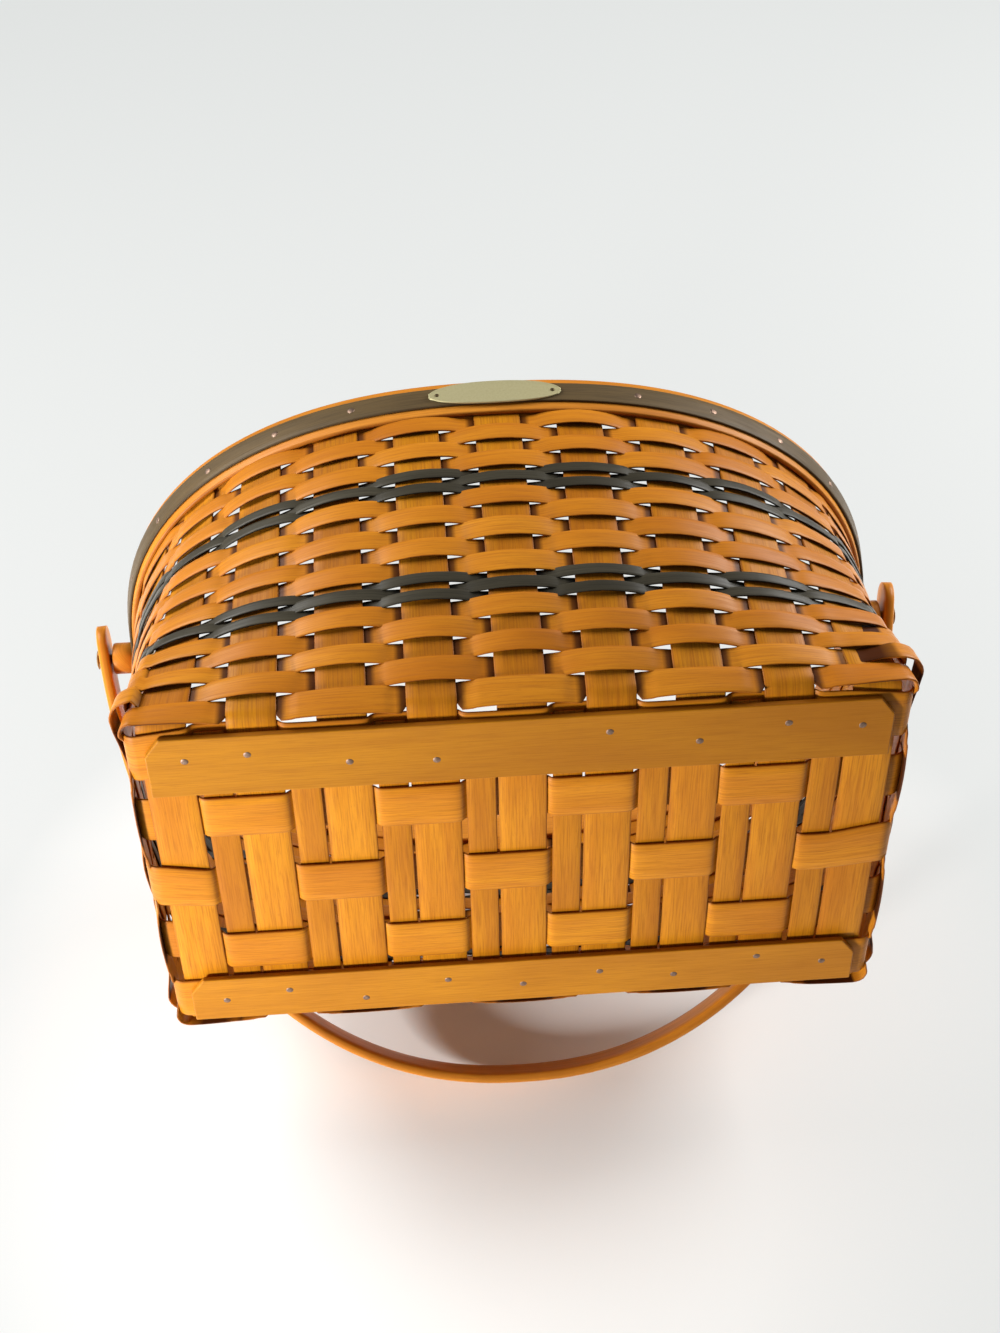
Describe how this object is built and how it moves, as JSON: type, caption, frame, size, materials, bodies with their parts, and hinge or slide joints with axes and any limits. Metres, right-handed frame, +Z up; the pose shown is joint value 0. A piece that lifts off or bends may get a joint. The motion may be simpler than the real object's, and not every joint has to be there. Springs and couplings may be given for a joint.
{
  "type": "splint basket",
  "caption": "Oval woven splint basket on a rectangular base with two base strips, dark woven bands, banded rim with a bare name plate, and a bent wooden swing handle.",
  "frame": {"origin": "centre of the standing plane, at the level of the undersides of the two base strips", "axes": "+Z up out of the mouth, +X along the basket's length and along the handle's pivot line, -Y to the side with the name plate; the handle hangs on the +Y side at rest"},
  "size_m": [0.4376, 0.3577, 0.1868],
  "materials": {
    "splint": "honey stain under satin lacquer",
    "filler": "honey stain under satin lacquer",
    "weaver": "honey stain under satin lacquer",
    "dark_weaver": "dark grey-green stain, satin",
    "rim": "honey stain under satin lacquer",
    "trim": "olive-grey stain, satin",
    "strip": "honey stain, worn satin",
    "handle": "honey stain under satin lacquer",
    "plate": "pale, brushed",
    "rivet": "plain"
  },
  "bodies": {
    "basket": {"cross_splint_1": "splint", "cross_splint_2": "splint", "cross_splint_3": "splint", "cross_splint_4": "splint", "cross_splint_5": "splint", "cross_splint_6": "splint", "cross_splint_7": "splint", "cross_splint_8": "splint", "cross_splint_9": "splint", "base_filler_1": "filler", "base_filler_2": "filler", "base_filler_3": "filler", "base_filler_4": "filler", "base_filler_5": "filler", "base_filler_6": "filler", "base_filler_7": "filler", "base_filler_8": "filler", "long_splint_1": "splint", "long_splint_2": "splint", "long_splint_3": "splint", "long_splint_4": "splint", "long_splint_5": "splint", "weaver_01": "weaver", "weaver_02": "weaver", "weaver_03": "weaver", "weaver_04": "weaver", "weaver_05": "weaver", "dark_weaver_06": "dark_weaver", "dark_weaver_07": "dark_weaver", "dark_weaver_08": "dark_weaver", "weaver_09": "weaver", "weaver_10": "weaver", "weaver_11": "weaver", "weaver_12": "weaver", "weaver_13": "weaver", "dark_weaver_14": "dark_weaver", "dark_weaver_15": "dark_weaver", "dark_weaver_16": "dark_weaver", "weaver_17": "weaver", "weaver_18": "weaver", "weaver_19": "weaver", "weaver_20": "weaver", "rim_inner_band": "rim", "rim_outer_band": "rim", "rim_trim": "trim", "base_strip_front": "strip", "base_strip_back": "strip", "plate_pin_left": "rivet", "plate_pin_right": "rivet", "name_plate": "plate", "handle_spacer_left": "rim", "handle_spacer_right": "rim", "handle_rivet_left": "rivet", "handle_rivet_right": "rivet"},
    "handle": {"handle": "handle"}
  },
  "joints": [
    {"name": "handle_swing", "type": "hinge", "parent": "basket", "child": "handle", "pos_m": [0, 0, 0.1713], "axis": [1, 0, 0], "range_deg": [-0.5, 258.5]}
  ]
}
